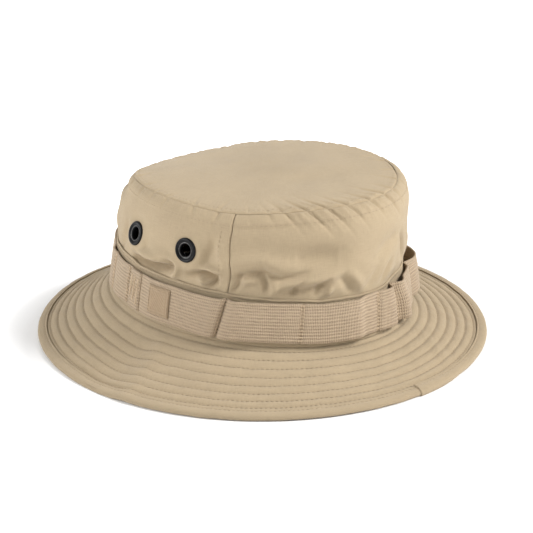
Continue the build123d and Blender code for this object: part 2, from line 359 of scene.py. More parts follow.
def wall_surface(angle, share, out=0.0):
    """The crown wall before its folds: share runs from 0 at the brim seam to 1 at the tip seam.

    Returns a grid of points and the length along the cloth from the brim seam and up to the tip seam.
    """
    rings = wall_rings(angle, out)
    knots = running(np.linalg.norm(np.diff(rings, axis=0), axis=2).mean(1))
    curve = curve_through(knots, rings, np.linspace(0, knots[-1], WALL_STEPS))
    steps = np.linalg.norm(np.diff(curve, axis=0), axis=2)
    run = np.concatenate([np.zeros((1, len(angle))), np.cumsum(steps, 0)])
    low = share[:, None] * run[-1]
    return read_columns(low, run, curve), low, run[-1] - low


def brim_surface(angle, reach, drop=0.0):
    """The brim's upper face, or one drop below it, at a plan distance out from the crown."""
    angle, reach = np.broadcast_arrays(angle, reach)
    part = reach / BRIM_REACH
    share = 1 - (1 + BRIM_BOW) * part + BRIM_BOW * part**2
    x, y = np.cos(np.radians(angle)), np.sin(np.radians(angle))
    z = BRIM_EDGE + (BRIM_RISE - BRIM_EDGE + BRIM_LEAN[0] * x + BRIM_LEAN[1] * y) * share - drop
    return np.stack([(HEAD_X + reach) * x, (HEAD_Y + reach) * y, z], -1)


# ---------------------------------------------------------------- folds of the crown

MM_PER_DEGREE = 1.6

# Each fold: its path as (angle, height above the brim seam), how far it stands out, and its half width
FOLDS = [
    (((-26, 34), (-18, 35), (-11, 36), (-6, 37.6), (-2.6, 39.6), (-4.2, 42)), -7.5, 2.6),
    (((-22, 41.5), (-14, 42), (-9, 42)), 4.6, 3.2),
    (((-2, 34), (-0.5, 38), (0.5, 42)), 3.2, 2.4),
    (((-14, 47), (-6, 46), (2, 43)), 2.0, 3.5),
    (((5.0, 38.4), (8.5, 40.8), (12.5, 42), (15.6, 40.6), (16, 37.6), (13.4, 34)), -5.0, 2.0),
    (((10, 37.6), (12.4, 36.6)), 3.4, 2.2),
    (((6, 43.5), (12, 45.5), (17, 44)), 2.6, 2.6),
    (((9, 44), (11.5, 50), (13.5, 57), (14, 64)), -2.6, 3.4),
    (((17.5, 52), (18.5, 62)), 1.6, 3.0),
    (((23, 42), (27, 45), (31, 47.5), (34, 48.5), (37, 46), (41, 44.6), (46, 46), (51, 48)), -3.2, 2.2),
    (((33.5, 46.5), (35, 42), (36, 36)), -3.6, 2.0),
    (((20, 51), (28, 54.5), (34, 56), (40, 52.5), (44, 53)), 3.2, 4.4),
    (((46, 57), (54, 58), (64, 58)), -4.6, 7.0),
    (((26, 41), (31, 43.5)), 3.4, 3.0),
    (((23.4, 33), (25, 39), (25.6, 44)), -3.0, 2.0),
    (((38.5, 34), (39.5, 41)), 2.6, 2.6),
    (((41, 40), (49, 43), (57, 45), (65, 46.5)), 3.0, 3.2),
    (((42, 35), (50, 37), (60, 39)), -2.6, 2.8),
    (((46, 33), (47.5, 39), (50, 43)), -2.4, 1.8),
    (((55, 32.5), (57, 38), (60, 43)), -2.6, 1.9),
    (((60.5, 33), (62, 38)), 2.0, 2.2),
    (((65, 45), (69, 39), (72, 32)), -2.4, 3.2),
    (((70, 46), (75, 39), (77, 33)), 1.6, 3.4),
    (((80, 33), (86, 45)), -1.2, 3.4),
    (((90, 34), (95, 46)), -2.2, 2.8),
    (((84, 52), (92, 58), (98, 60)), -2.2, 5.0),
    (((103, 60), (108, 48), (112, 38)), -2.6, 2.8),
    (((113, 58), (119, 46), (122, 36)), 0.8, 3.2),
    (((-80, 41), (-66, 41), (-52, 41)), 1.6, 7.0),
    (((-40, 34), (-36, 42), (-34, 52)), -2.2, 3.2),
]
for start in np.arange(129, 280, 13.0):
    side, low, rise = random.uniform(-5, 5), random.uniform(31, 35), random.uniform(4, 10)
    path = ((start, low), (start + side * 0.6, low + rise * 0.6), (start + side, low + rise))
    FOLDS.append((path, -random.uniform(2.8, 5.0), random.uniform(1.8, 2.8)))
    bulge = ((start + 5, low + 3), (start + 6 + side, low + 3 + rise))
    FOLDS.append((bulge, random.uniform(1.8, 3.4), random.uniform(2.6, 4.0)))


def fold_depth(angle, height):
    """How far all the folds move the wall outwards, at grids of angles and heights."""
    total = np.zeros_like(height)
    for path, depth, width in FOLDS:
        points = np.array(path, float)
        margin = np.array((4 * width / MM_PER_DEGREE, 4 * width))
        low, high = points.min(0) - margin, points.max(0) + margin
        lap = (angle - low[0]) % TURN + low[0]
        near = (lap < high[0]) & (height > low[1]) & (height < high[1])
        if not near.any():
            continue
        x, y = lap[near] * MM_PER_DEGREE, height[near]
        corners = points * (MM_PER_DEGREE, 1)
        lengths = np.linalg.norm(np.diff(corners, axis=0), axis=1)
        begins = running(lengths)
        best, place = np.full(x.shape, 1e9), np.zeros(x.shape)
        for k, length in enumerate(lengths):
            a, d = corners[k], (corners[k + 1] - corners[k]) / length
            along = np.clip((x - a[0]) * d[0] + (y - a[1]) * d[1], 0, length)
            gap = np.hypot(x - a[0] - along * d[0], y - a[1] - along * d[1])
            place = np.where(gap < best, begins[k] + along, place)
            best = np.minimum(best, gap)
        taper = 0.4 + 0.6 * np.maximum(np.sin(math.pi * place / begins[-1]), 0) ** 0.7
        total[near] += depth * taper * ridge(best, width)
    return total


# Puckers that cross the tip seam: (angle, reach up and down from the seam, depth, half width, slant)
PUCKERS = [
    (35, 8, -0.9, 1.4, -0.5), (42, 10, -1.6, 1.7, -0.7), (47, 10, 1.4, 2.0, -0.8),
    (52, 12, -2.2, 1.6, -0.8), (57, 10, 1.4, 2.0, -0.8), (61, 12, -2.2, 1.5, -0.8), (66, 9, 1.2, 2.2, -0.7),
    (71, 11, -1.8, 1.6, -0.7), (78, 9, 1.0, 2.0, -0.6), (84, 10, -1.8, 1.6, -0.6), (90, 9, 1.0, 2.2, -0.5),
    (95, 12, -2.0, 1.7, -0.5), (104, 9, -1.2, 1.6, -0.3), (-12, 7, -0.7, 1.5, 0.2), (2, 8, -0.9, 1.5, -0.3),
    (14, 9, -0.9, 1.4, 0.2), (-30, 8, -0.7, 1.8, 0.1), (-21, 7, -0.6, 1.4, 0.1), (27, 7, -0.6, 1.4, -0.3),
]
for start in np.arange(118, 322, 8.5):
    reach, depth = random.uniform(6, 13), -random.uniform(0.5, 1.2)
    at, width, slant = start + random.uniform(-3, 3), random.uniform(1.3, 2.2), random.uniform(-0.6, 0.6)
    PUCKERS.append((at, reach, depth, width, slant))


def pucker_depth(angle, below):
    """Short creases across the tip seam. below is the distance down the wall, or negative up the tip."""
    total = np.zeros_like(below)
    for at, reach, depth, width, slant in PUCKERS:
        away = away_from(at, angle) * MM_PER_DEGREE + slant * below
        total += depth * ridge(away, width) * ridge(below, reach)
    ruche = 0.16 * waves(angle, (83, 97, 121, 149), 21) * ridge(below, 5)
    return total + ruche


def pinch(angle, height):
    """Where the webbing's pull draws the crown in."""
    return -2.0 * ridge(away_from(103, angle), 6.5) * smooth(12, 27, height) * smooth(58, 40, height)


def eyelet_calm(angle, height):
    """0 under each eyelet, where the cloth is clamped flat, rising to 1 a little way off."""
    calm = np.ones_like(height)
    for at, level in EYELETS.values():
        away = away_from(at, angle) * MM_PER_DEGREE
        calm = calm * smooth(7.6, 11.5, np.hypot(away, height - level))
    return calm


# How far the side seams stray from a straight line, as (share of the way up the wall, millimetres)
SEAM_WAVER = ((0, 0), (0.38, 0), (0.54, 0.9), (0.64, 0), (0.74, -1.4), (0.86, -1.5), (1, 0))
# How far the cloth round each eyelet leans back, in degrees
EYELET_TILT = {"front": 14.0, "rear": 6.0}


def eyelet_place(name):
    """Centre, outward normal and upward direction of an eyelet, which lies flat on the leaning cloth."""
    at, level = EYELETS[name]
    points, low, _ = wall_surface(np.array([at - 1.0, at, at + 1.0]), np.linspace(0, 1, 400))
    row = int(np.argmin(np.abs(low[:, 1] - level)))
    normal = grid_normals(points, False)[row, 1]
    up = unit(points[row + 1, 1] - points[row - 1, 1])
    tilt = math.radians(EYELET_TILT[name.split("_")[1]])
    return points[row, 1] + 0.3 * normal, normal * math.cos(tilt) + up * math.sin(tilt), up


def eyelet_flats(points):
    """The wall's points, pulled onto each eyelet's plane round it."""
    for name in EYELETS:
        centre, normal, _ = eyelet_place(name)
        away = points - centre
        off = away @ normal
        distance = np.linalg.norm(away - off[..., None] * normal, axis=-1)
        near = smooth(15, 8.6, distance) * (np.abs(off) < 20)
        points = points - (near * off)[..., None] * normal
    return points


def wall_folded(angle, share):
    """The crown wall as it hangs: folds over the band, puckers at the tip and the seams' own relief."""
    points, height, below = wall_surface(angle, share)
    grid_angle = np.broadcast_to(angle[None], height.shape)
    move = fold_depth(grid_angle, height)
    along = unit(np.gradient(points, axis=1))
    for seam, _ in SEAMS:
        near = ridge(away_from(seam, grid_angle) * MM_PER_DEGREE, 14)
        points = points + along * (near * through(SEAM_WAVER, share)[:, None])[..., None]
    slack = smooth(30, 38, height) * smooth(0, 22, below)
    sway = 0.7 * waves(grid_angle, (2, 3, 5), 5) + 0.35 * waves(grid_angle, (7, 11, 13), 6)
    move = move + slack * sway
    move = move + pucker_depth(grid_angle, below) * smooth(0, 1.5, below)
    move = move * smooth(30, 34, height)
    move = move + 2.0 * ridge(away_from(138, grid_angle), 24) * ridge(below - 6, 11)
    move = move + 0.45 * (smooth(9.6, 8.4, below) - 1) * smooth(40, 60, height)
    move = move - 0.3 * ridge(below - TOPSTITCH, 0.55)
    for seam, front in SEAMS:
        away = away_from(seam, grid_angle) * MM_PER_DEGREE * front
        move = move + 0.4 * smooth(-0.3, 0.3, away) * smooth(8.6, 7.6, away)
        move = move - 0.3 * ridge(away - SEAM_STITCH, 0.6)
    move = move * eyelet_calm(grid_angle, height) + pinch(grid_angle, height)
    normals = unit(np.cross(np.gradient(points, axis=1), np.gradient(points, axis=0)))
    return eyelet_flats(points + normals * move[..., None]), normals, height, below


# ---------------------------------------------------------------- materials


class Graph:
    """A new material's nodes. An input is given a socket to link from, or a value."""

    def __init__(self, name):
        self.material = bpy.data.materials.new(name)
        self.material.use_nodes = True
        self.shader = self.material.node_tree.nodes["Principled BSDF"]

    def give(self, node, inputs):
        """Link or set some of a node's inputs."""
        for key, value in inputs.items():
            if isinstance(value, bpy.types.NodeSocket):
                self.material.node_tree.links.new(value, node.inputs[key])
            else:
                node.inputs[key].default_value = value

    def add(self, kind, inputs, output=0, **settings):
        """A new node, as one of its outputs."""
        node = self.material.node_tree.nodes.new("ShaderNode" + kind)
        for key, value in settings.items():
            setattr(node, key, value)
        self.give(node, inputs)
        return node.outputs[output]

    def math(self, kind, *values):
        """A Math node."""
        return self.add("Math", dict(enumerate(values)), operation=kind)

    def scaled(self, value, factor):
        """A value times a factor."""
        return self.math("MULTIPLY", value, factor)

    def noise(self, vector, scale, detail, stretch=None):
        """A Noise texture's value on some coordinates."""
        if stretch:
            vector = self.add("Mapping", {"Scale": stretch, "Vector": vector})
        return self.add("TexNoise", {"Scale": scale, "Detail": detail, "Vector": vector})

    def yarn_turns(self, across, along):
        """The cloth's own lengths, and both as angles with one turn a yarn; pitches in millimetres."""
        lengths = self.add("UVMap", {}, "UV", uv_map="cloth")
        x, y, _ = self.add("SeparateXYZ", {0: lengths}).node.outputs
        return lengths, self.scaled(x, 2 * math.pi / across), self.scaled(y, 2 * math.pi / along)

    def ramp(self, factor, *stops):
        """A colour from (place, colour) stops."""
        colour = self.add("ValToRGB", {"Fac": factor})
        elements = colour.node.color_ramp.elements
        while len(elements) < len(stops):
            elements.new(0.5)
        for element, (place, value) in zip(elements, stops):
            element.position = place
            element.color = (*value, 1)
        return colour

    def finished(self, height, strength, depth, inputs):
        """The material with the shader's inputs and a relief so many millimetres deep."""
        normal = self.add("Bump", {"Strength": strength, "Distance": depth * MM, "Height": height})
        self.give(self.shader, {**inputs, "Normal": normal})
        return self.material


def shade(colour, factor):
    """A colour made lighter or darker."""
    return tuple(min(1.0, c * factor) for c in colour)


# How much the fine rumples weigh against the yarns in the cloth's bump
RUMPLE = 4.5


def cloth_material(name, colour, across=0.42, along=0.5, bump=0.5):
    """Woven cotton cloth: yarns, slubs, soft changes of tone and a faint sheen."""
    graph = Graph(name)
    lengths, u, v = graph.yarn_turns(across, along)
    yarns = graph.math("MULTIPLY", graph.math("SINE", u), graph.math("SINE", v))
    slub_u = graph.noise(lengths, 1.0, 2.0, (0.16, 2.2, 1))
    slub_v = graph.noise(lengths, 1.0, 2.0, (2.2, 0.16, 1))
    place = graph.add("TexCoord", {}, "Object")
    cloud = graph.noise(place, 45.0, 6.0)
    slubs = graph.math("ADD", slub_u, slub_v)
    fine = graph.scaled(yarns, 0.12)
    tone = graph.scaled(slubs, 0.35)
    tone = graph.math("ADD", tone, graph.scaled(cloud, 0.3))
    tone = graph.math("ADD", tone, fine)
    inputs = {"Specular IOR Level": 0.25, "Sheen Weight": 0.12, "Sheen Roughness": 0.6}
    stops = (0.28, shade(colour, 0.824)), (0.5, colour), (0.75, shade(colour, 1.11))
    inputs["Base Color"] = graph.ramp(tone, *stops)
    inputs["Roughness"] = graph.math("ADD", graph.scaled(cloud, 0.1), 0.81)
    relief = graph.math("ADD", graph.scaled(slubs, 1.1), yarns)
    relief = graph.math("ADD", relief, graph.scaled(graph.noise(place, 160.0, 4.0), RUMPLE))
    return graph.finished(relief, bump, 0.12, inputs)


def webbing_material(name, colour):
    """Woven nylon webbing: a grid of raised yarns, with painted shade darkening the hollows between them, a
    little shinier than the cloth.
    """
    graph = Graph(name)
    lengths, u, v = graph.yarn_turns(PICK, RIB)
    picks, ribs = (graph.math("MULTIPLY_ADD", graph.math("COSINE", turn), 0.5, 0.5) for turn in (u, v))
    low_pick, low_rib = (graph.math("SUBTRACT", 1.0, raised) for raised in (picks, ribs))
    hollow_and_painted_shade = graph.math("MULTIPLY", low_pick, low_rib)
    cloud = graph.noise(lengths, 0.5, 3.0, (0.4, 2.0, 1))
    yarn = graph.noise(lengths, 1.0, 2.0, (2.4, 0.9, 1))
    tone = graph.scaled(graph.math("ADD", cloud, yarn), 0.5)
    # Painted shade: the base colour is darkened in the hollows between the yarns, which also sink in the
    # bump
    tone = graph.math("SUBTRACT", tone, graph.scaled(hollow_and_painted_shade, 0.34))
    inputs = {"Specular IOR Level": 0.3, "Sheen Weight": 0.1}
    stops = (0.1, shade(colour, 0.5)), (0.42, shade(colour, 0.97)), (0.7, shade(colour, 1.12))
    inputs["Base Color"] = graph.ramp(tone, *stops)
    inputs["Roughness"] = graph.math("ADD", graph.scaled(cloud, 0.15), 0.58)
    height = graph.math("ADD", graph.scaled(yarn, 0.25), picks)
    return graph.finished(graph.math("SUBTRACT", height, hollow_and_painted_shade), 0.6, 0.24, inputs)


def thread_material(name, colour):
    """Spun sewing thread with a fine grain."""
    graph = Graph(name)
    grain = graph.noise(graph.add("TexCoord", {}, "Object"), 2600.0, 2.0)
    tone = graph.ramp(grain, (0.3, shade(colour, 0.75)), (0.7, shade(colour, 1.1)))
    return graph.finished(grain, 0.5, 0.05, {"Base Color": tone, "Roughness": 0.6})


def enamel_material(name, colour, rub, metal=0.0):
    """Enamelled or bare metal with small rubs where the bright base shows."""
    graph = Graph(name)
    rubs = graph.noise(graph.add("TexCoord", {}, "Object"), 900.0, 5.0)
    inputs = {"Metallic": metal, "Specular IOR Level": 0.16}
    inputs["Base Color"] = graph.ramp(rubs, (0.45, colour), (0.66, shade(colour, 1.6)), (0.78, rub))
    inputs["Roughness"] = graph.math("MULTIPLY_ADD", rubs, 0.25, 0.2)
    return graph.finished(rubs, 0.15, 0.06, inputs)


TAN = (0.40, 0.31, 0.196)
crown_cloth = cloth_material("crown_cloth", TAN)
brim_cloth = cloth_material("brim_cloth", shade(TAN, 0.98))
band_cloth = cloth_material("band_cloth", shade(TAN, 0.93))
binding_cloth = cloth_material("binding_cloth", shade(TAN, 0.97))
tape_cloth = cloth_material("tape_cloth", shade(TAN, 0.9), 0.8, 0.5)
twill_cloth = cloth_material("twill_cloth", shade(TAN, 0.9), 1.0, 0.6, bump=0.6)
label_cloth = cloth_material("label_cloth", (0.72, 0.69, 0.6), 0.3, 0.3)
stiff_cloth = cloth_material("stiff_cloth", (0.6, 0.56, 0.48), 0.9, 0.9)
webbing_cloth = webbing_material("webbing", (0.385, 0.29, 0.193))
tab_cloth = cloth_material("tab_cloth", (0.37, 0.268, 0.168), 0.5, 0.5, bump=0.6)
# Painted shade: the thread is a little darker than the cloth, for the shade where the stitches sit in their
# dimples
thread = thread_material("thread", (0.36, 0.275, 0.175))
bright_thread = thread_material("bright_thread", (0.54, 0.41, 0.27))
enamel = enamel_material("black_enamel", (0.004, 0.004, 0.0045), (0.05, 0.048, 0.046))
# Painted highlight: the eyelet lip's lighter grey stands in for the highlight on the rolled barrel of the
# black eyelet
painted_highlight_metal = enamel_material("painted_highlight_metal", (0.09, 0.088, 0.085), (0.2, 0.19, 0.17), 0.5)


# ---------------------------------------------------------------- crown

TIP_ROWS = np.concatenate([np.linspace(0, 0.985, 96), [0.991, 0.9955, 0.999, 1.0]])


def spread_angles(start, stop, step, tucks=(0.05, 0.2, 0.45, 0.9)):
    """Angles between two panel edges, with close ones where the edges turn in."""
    tuck = np.array(tucks) / MM_PER_DEGREE
    middle = np.arange(start + tuck[-1] + step, stop - tuck[-1] - step / 2, step)
    return np.concatenate([[start], start + tuck, middle, stop - tuck[::-1], [stop]])


def turned_in(away, reach=0.22):
    """How deep a cloth edge dives into its seam, by the distance from the edge."""
    return -1.5 * np.exp(-away / reach)


def crown_panel(name, start, stop, node):
    """One wall panel between the side seams, its edges turned into the seams."""
    angle = spread_angles(start, stop, 0.5)
    top = np.array([0.9, 0.45, 0.2, 0.05, 0.0]) / 80
    share = np.concatenate([np.linspace(0, 1 - top[0] - 0.008, 108), 1 - top])
    points, normals, height, below = wall_folded(angle, share)
    side = np.minimum(angle - start, stop - angle)[None] * MM_PER_DEGREE
    dive = turned_in(side) + turned_in(below, 0.4)
    points = points + normals * dive[..., None]
    cut = np.zeros(height.shape, bool)
    for eyelet in EYELETS:
        cut |= np.linalg.norm(points - eyelet_place(eyelet)[0], axis=-1) < 5.4
    return sheet_piece(name, points, False, crown_cloth, (node,), CLOTH, cut)


crown_front = crown_panel("crown_front_cloth", 180 - SEAM_ANGLE, TURN + SEAM_ANGLE, "crown_front_panel")
crown_back = crown_panel("crown_back_cloth", SEAM_ANGLE, 180 - SEAM_ANGLE, "crown_back_panel")


def tip_surface(angle, share):
    """The crown's oval top, from its middle at share 0 to the tip seam at share 1."""
    angle, share = np.broadcast_arrays(angle, share)
    x = TIP_X * share * np.cos(np.radians(angle))
    y = TIP_Y * share * np.sin(np.radians(angle))
    inside = (1 - share) * (TIP_X + TIP_Y) / 2
    z = TIP_CENTRE[2] + TIP_SLOPE[0] * x + TIP_SLOPE[1] * y
    z = z + tip_seam_wave(angle) * share**3 + CLOTH + TIP_DOME * (1 - share**2)
    z = z + pucker_depth(angle, -inside) * smooth(0, 1.2, inside) * smooth(0, 0.4, share)
    z = z - 0.16 * ridge(inside - TIP_STITCH, 0.55)
    z = z - 1.2 * ridge(np.hypot(x - 10, y - 40), 12) + 1.6 * ridge(np.hypot(x + 22, y - 36), 20)
    z = z - 2.2 * ridge(np.hypot(x + 10, y + 46), 26) + 0.4 * waves(angle, (2, 3, 5), 9) * share**2
    z = z + turned_in(inside, 0.5)
    return np.stack([TIP_CENTRE[0] + x, TIP_CENTRE[1] + y, z], -1)


def crown_tip():
    """The tip cloth, with the dent of its topstitching just inside the seam."""
    angle = np.arange(0, TURN, 0.5)
    grid = tip_surface(angle[None], TIP_ROWS[::-1][:, None])
    piece = sheet_piece("crown_tip_cloth", grid, True, crown_cloth, ("crown_tip",))
    shell = bmesh.new()
    shell.from_mesh(piece.data)
    bmesh.ops.remove_doubles(shell, verts=shell.verts, dist=0.00001)
    loose = [edge for edge in shell.edges if not edge.link_faces]
    bmesh.ops.delete(shell, geom=loose, context="EDGES")
    shell.to_mesh(piece.data)
    shell.free()
    return piece


crown_top = crown_tip()


def seam_tapes():
    """Bias tapes that cover the raw edges inside the crown."""
    angle = np.arange(0, TURN, 1.0)
    share = np.linspace(0.895, 0.985, 9)
    points, _, _ = wall_surface(angle, share, -CLOTH - 0.6)
    bulge = 0.5 * np.sin(math.pi * (share - share[0]) / (share[-1] - share[0]))
    lift = bulge[:, None] + 0.1 * waves(angle, (41, 53), 4)
    points = points - grid_normals(points, True) * lift[..., None]
    sheet_piece("tip_tape_cloth", points, True, tape_cloth, ("tip_seam_tape",), 0.8)
    for side, (middle, _) in zip(("left", "right"), SEAMS):
        angle = np.linspace(middle - 3.7, middle + 3.7, 25)
        points, normals, _, _ = wall_folded(angle, np.linspace(0.42, 0.89, 90))
        points, node = points - normals * (CLOTH + 0.5), f"side_seam_tape_{side}"
        sheet_piece(f"{side}_tape_cloth", points, False, tape_cloth, (node,), 0.5)


seam_tapes()


# ---------------------------------------------------------------- eyelets


# Outline of an eyelet with its washer: (radius, distance out from the cloth)
EYELET_OUTLINE = (
    (4.0, -2.0), (4.0, 0.0), (4.1, 0.3), (4.5, 0.4), (5.1, 0.42), (5.5, 0.5), (6.1, 1.0), (6.8, 1.25),
    (7.4, 1.0), (7.75, 0.45), (7.8, -0.2), (4.7, -0.1), (4.7, -2.4), (5.9, -2.6), (5.6, -3.0), (4.3, -2.9),
)
LIP_OUTLINE = ((4.45, 0.3), (4.5, 0.62), (4.75, 0.72), (5.0, 0.6), (5.05, 0.3))
WASHER_OUTLINE = ((4.8, -1.2), (7.7, -1.25), (7.8, -1.5), (7.5, -1.75), (4.8, -1.7))


def turned(outline, centre, normal, up):
    """Points and quads of an outline turned about an axis."""
    around = np.linspace(0, 2 * math.pi, 56, endpoint=False)
    across = np.cos(around)[:, None] * up + np.sin(around)[:, None] * np.cross(up, normal)
    return tube(centre + outline[None, :, :1] * across[:, None] + outline[None, :, 1:] * normal, True)


def rounded(outline):
    """The outline with its corners cut, so that it turns smoothly."""
    line = np.array(outline, float)
    ahead = np.roll(line, -1, 0)
    return np.stack([0.8 * line + 0.2 * ahead, 0.2 * line + 0.8 * ahead], 1).reshape(-1, 2)


# Each turned part: the start of its name, its outline, its material and the start of the node it replaces
EYELET_PARTS = (
    ("eyelet", EYELET_OUTLINE, enamel, "vent_eyelet"),
    ("eyelet_lip", LIP_OUTLINE, painted_highlight_metal, None),
    ("washer", WASHER_OUTLINE, enamel, "vent_washer"),
)
for place_name in EYELETS:
    centre, normal, up = eyelet_place(place_name)
    up = unit(up - normal * (up @ normal))
    for part, outline, material, node in EYELET_PARTS:
        points, faces = turned(rounded(outline), centre, normal, up)
        nodes = (f"{node}_{place_name}",) if node else ()
        make_piece(f"{part}_{place_name}", points, faces, material, stands_for=nodes)


# ---------------------------------------------------------------- band, sweatband and label


def band_grid(angle, heights, out):
    """A strip that follows the lower wall at given heights; out may change with height and angle."""
    points, low, _ = wall_surface(angle, np.linspace(0, 0.5, 90))
    normals = grid_normals(points, abs(angle[-1] - angle[0]) > 300)
    heights = np.broadcast_to(heights.reshape(len(heights), -1), (len(heights), len(angle)))
    directions = unit(read_columns(heights, low, normals))
    out = out + pinch(np.broadcast_to(angle[None], heights.shape), heights)
    return read_columns(heights, low, points) + directions * out[..., None], directions


BAND_TOP = (
    (-40, 32.8), (-20, 32.4), (0, 32.4), (20, 31.8), (35, 31.2), (50, 30.4), (70, 29.8), (85, 29.4),
    (98, 30.2), (112, 31.8), (128, 32.8), (150, 32.2), (180, 31.8), (220, 32.4), (260, 32.0), (300, 32.6),
    (320, 32.8), (340, 32.4),
)


def band_top(angle):
    """Height of the band's top edge."""
    return through(BAND_TOP, (angle + 40) % TURN - 40) + 0.45 * waves(angle, (9, 14, 23, 41), 31)


def base_band():
    """The cloth strip that carries the webbing, its top edge turned under and stitched down."""
    angle = np.arange(0, TURN, 0.5)
    share = np.concatenate([np.linspace(0, 0.9, 30), np.linspace(0.915, 1, 8)])
    top = band_top(angle)
    heights = 0.4 + share[:, None] * (top[None] - 0.4)
    off = 0.85 + 0.2 * waves(angle, (11, 17, 29), 32)[None] * share[:, None]
    below_top = top[None] - heights
    off = off + 0.35 * smooth(6.5, 5.8, below_top) - 0.4 * ridge(below_top - BAND_STITCH, 0.5)
    off = off - 0.9 * np.exp(-below_top / 0.35)
    grid, _ = band_grid(angle, heights, off)
    piece = sheet_piece("base_band_cloth", grid, True, band_cloth, ("base_band",), 0.75)
    line, up = band_grid(angle, (top - BAND_STITCH)[None], 0.85)
    return piece, stitches(line[0], up[0], True)


band, band_thread = base_band()


def sweatband_tape():
    """The twill tape against the head, a little uneven where it was sewn in."""
    angle = np.arange(0, TURN, 1.0)
    heights = np.linspace(0.2, 31, 24)
    off = -2.1 + 0.12 * waves(angle, (13, 21, 34), 41)[None] + 0 * heights[:, None]
    grid, _ = band_grid(angle, heights, off)
    return sheet_piece("sweatband_cloth", grid, True, twill_cloth, ("sweatband",), 1.1)


sweat = sweatband_tape()


def label_tape():
    """A small blank label folded and sewn to the sweatband at the back."""
    angle = np.linspace(82, 98, 40)
    heights = np.linspace(8, 22, 18)
    off = -3.45 - 0.25 * np.sin(math.pi * (heights - 8) / 14)[:, None] + 0 * angle[None]
    grid, _ = band_grid(angle, heights, off)
    sheet_piece("size_label_cloth", grid, False, label_cloth, ("size_label",), 0.35)


label_tape()


# ---------------------------------------------------------------- foliage webbing

# How far each loop stands off the band along its length, as (share, millimetres)
LOOPS = {
    1: ((0, 0.7), (0.15, 1.2), (0.5, 1.4), (0.8, 1.0), (1, 0.3)),
    2: (
        (0, 0.3), (0.12, 0.6), (0.2, 1.0), (0.34, 2.2), (0.6, 2.2), (0.85, 2.8), (0.94, 3.2), (0.975, 2.4),
        (1, 0.1),
    ),
    3: ((0, 0.1), (0.045, 2.4), (0.1, 3.6), (0.3, 2.8), (0.6, 1.2), (0.9, 1.3), (0.97, 1.1), (1, 0.8)),
    4: (
        (0, 0.8), (0.03, 1.3), (0.12, 1.6), (0.4, 2.8), (0.58, 4.0), (0.68, 4.1), (0.78, 1.6), (0.87, 0.9),
        (1, 0.2),
    ),
    5: ((0, 0.1), (0.08, 1.2), (0.3, 2.4), (0.6, 3.6), (0.76, 3.4), (0.88, 1.2), (0.95, 0.2), (1, 0.1)),
    6: (
        (0, 0.1), (0.05, 1.6), (0.12, 4.6), (0.2, 6.2), (0.3, 5.6), (0.44, 3.2), (0.65, 2.6), (0.88, 2.2),
        (1, 0.1),
    ),
    7: ((0, 0.1), (0.08, 3.2), (0.2, 7.2), (0.34, 9.2), (0.5, 8.8), (0.7, 6.0), (0.9, 2.2), (1, 0.1)),
    8: ((0, 0.1), (0.06, 1.6), (0.35, 2.0), (0.7, 2.7), (0.95, 1.4), (1, 0.1)),
    9: ((0, 0.1), (0.08, 2.2), (0.4, 4.0), (0.7, 3.3), (0.94, 1.4), (1, 0.1)),
    10: ((0, 0.1), (0.05, 1.4), (0.4, 2.4), (0.7, 3.1), (0.95, 1.6), (1, 0.1)),
    11: ((0, 0.1), (0.07, 1.2), (0.4, 2.6), (0.8, 2.0), (0.95, 1.1), (1, 0.1)),
    12: ((0, 0.1), (0.08, 1.4), (0.25, 1.6), (0.42, 0.4), (0.76, 0.2), (0.84, 1.4), (0.93, 1.6), (1, 0.7)),
}


def webbing_relief(v):
    """The webbing's ribs in millimetres, from the distance across it."""
    edge = np.minimum(v, WEBBING_WIDTH - v)
    return 0.12 * np.cos(2 * math.pi * v / RIB) * smooth(0.2, 0.9, edge) - 0.35 * smooth(0.9, 0.0, edge)


def loop_span(number):
    """The angles of the tacks at a loop's two ends."""
    return (*TACKS, TACKS[0] + TURN)[number - 1 : number + 1]


# How far the top of the webbing is pulled ahead of its bottom at some tacks, in millimetres
SLANTS = {20: 6.5, 50: 2.7, 85: 3.3, 98: -1.5, 152: 2.0, 216: -2.4, 250: 2.2}


def slanted(grid, directions, angle, across):
    """The webbing's points pulled along it, so that its tacks slant."""
    along = unit(np.cross((0, 0, 1.0), directions))
    pull = np.zeros(grid.shape[:2])
    for tack, slant in SLANTS.items():
        near = ridge(away_from(tack, angle), 9)
        pull = pull + slant * near[None] * (across[:, None] / WEBBING_WIDTH - 0.5)
    return grid + along * pull[..., None]


def webbing_strip(number, low_share=0.0, high_share=1.0, over=0.0, low=0.0, high=WEBBING_WIDTH, relief=True):
    """Outer face of a stretch of webbing, or of something sewn over it, as a grid."""
    start, stop = loop_span(number)
    cols = max(12, int((stop - start) * (high_share - low_share) * MM_PER_DEGREE / 0.4))
    share = np.linspace(low_share, high_share, cols)
    if low_share == 0 and high_share == 1:
        share = 0.002 + 0.996 * share
    angle = start + (stop - start) * share
    across = np.linspace(low, high, max(8, int((high - low) / 0.36)))
    off = through(LOOPS[number], share) + BAND_OUT + WEBBING + over
    sag = 0.35 * waves(angle, (9, 15), 51)
    heights = WEBBING_LOW + across[:, None] + sag[None]
    lean = 0.35 * np.sin(math.pi * share) * waves(angle, (7, 12), 52)
    grid_off = off[None] + lean[None] * (across[:, None] / WEBBING_WIDTH - 0.4)
    if relief:
        grid_off = grid_off + webbing_relief(across[:, None])
    lengths = np.stack(np.meshgrid(angle * MM_PER_DEGREE, across), -1)
    grid, directions = band_grid(angle, heights, grid_off)
    return slanted(grid, directions, angle, across), directions, lengths


for number in range(1, len(TACKS) + 1):
    grid, directions, lengths = webbing_strip(number)
    name = f"webbing_loop_{number:02d}"
    node = f"foliage_loop_{number:02d}"
    piece = sheet_piece(name, grid, False, webbing_cloth, (node,), WEBBING - 0.2, lengths=lengths)
    start, stop = loop_span(number)


LAP_SHARES = (0.05, 0.2)


